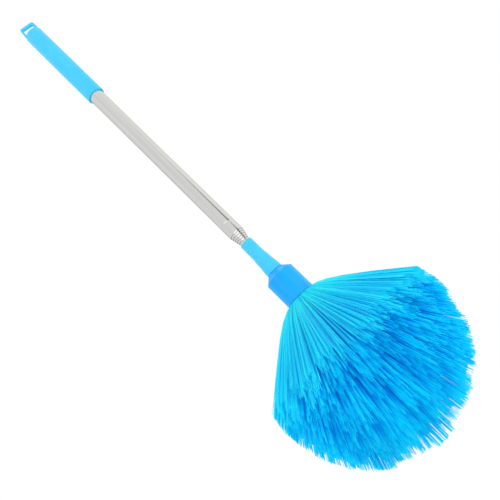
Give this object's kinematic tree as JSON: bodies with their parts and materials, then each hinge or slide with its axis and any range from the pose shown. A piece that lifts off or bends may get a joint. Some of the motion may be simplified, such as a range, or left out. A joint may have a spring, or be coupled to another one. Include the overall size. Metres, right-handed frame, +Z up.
{
  "type": "extendable duster",
  "caption": "Extendable duster: a round head of fine plastic bristles in a cup, on a telescopic steel pole with a plastic grip that hangs by a slot.",
  "frame": {"origin": "middle of the upper face of the hanging slot, where a hook bears, on the pole's axis", "axes": "+Z up along the pole's axis, from the bristles to the grip, as the closed duster hangs; X along the slot's width; Y through the hanging loop's thickness"},
  "size_m": [0.2287, 0.2279, 0.7069],
  "materials": {
    "sky_blue_plastic": "moulded, soft gloss",
    "deep_blue_plastic": "moulded, soft gloss",
    "stainless_steel": "drawn and polished lengthwise",
    "white_nylon": "moulded, matt",
    "zinc_plated_steel": "zinc plated",
    "cyan_bristle": "fine translucent filament"
  },
  "bodies": {
    "handle": {"grip": "sky_blue_plastic", "rear_plug": "white_nylon", "outer_tube": "stainless_steel"},
    "sleeve_1": {"friction_sleeve_1": "white_nylon"},
    "section_2": {"middle_tube_1": "stainless_steel"},
    "sleeve_2": {"friction_sleeve_2": "white_nylon"},
    "section_3": {"middle_tube_2": "stainless_steel"},
    "sleeve_3": {"friction_sleeve_3": "white_nylon"},
    "section_4": {"middle_tube_3": "stainless_steel"},
    "sleeve_4": {"friction_sleeve_4": "white_nylon"},
    "section_5": {"middle_tube_4": "stainless_steel"},
    "sleeve_5": {"friction_sleeve_5": "white_nylon"},
    "head_section": {"inner_tube": "stainless_steel", "neck": "sky_blue_plastic", "ferrule": "deep_blue_plastic", "head_washer": "zinc_plated_steel", "head_screw": "zinc_plated_steel", "wire_ring": "zinc_plated_steel", "bristles_inner": "cyan_bristle", "bristles_middle": "cyan_bristle", "bristles_outer": "cyan_bristle"}
  },
  "joints": [
    {"name": "slide_1", "type": "slide", "parent": "handle", "child": "sleeve_1", "axis": [0, 0, -1], "range_m": [0, 0.346]},
    {"name": "swivel_1", "type": "hinge", "parent": "sleeve_1", "child": "section_2", "pos_m": [0, 0, -0.0304], "axis": [0, 0, 1], "continuous": true},
    {"name": "slide_2", "type": "slide", "parent": "section_2", "child": "sleeve_2", "axis": [0, 0, -1], "range_m": [0, 0.33577]},
    {"name": "swivel_2", "type": "hinge", "parent": "sleeve_2", "child": "section_3", "pos_m": [0, 0, -0.0435], "axis": [0, 0, 1], "continuous": true},
    {"name": "slide_3", "type": "slide", "parent": "section_3", "child": "sleeve_3", "axis": [0, 0, -1], "range_m": [0, 0.32554]},
    {"name": "swivel_3", "type": "hinge", "parent": "sleeve_3", "child": "section_4", "pos_m": [0, 0, -0.0566], "axis": [0, 0, 1], "continuous": true},
    {"name": "slide_4", "type": "slide", "parent": "section_4", "child": "sleeve_4", "axis": [0, 0, -1], "range_m": [0, 0.31531]},
    {"name": "swivel_4", "type": "hinge", "parent": "sleeve_4", "child": "section_5", "pos_m": [0, 0, -0.0697], "axis": [0, 0, 1], "continuous": true},
    {"name": "slide_5", "type": "slide", "parent": "section_5", "child": "sleeve_5", "axis": [0, 0, -1], "range_m": [0, 0.30508]},
    {"name": "swivel_5", "type": "hinge", "parent": "sleeve_5", "child": "head_section", "pos_m": [0, 0, -0.0828], "axis": [0, 0, 1], "continuous": true}
  ]
}
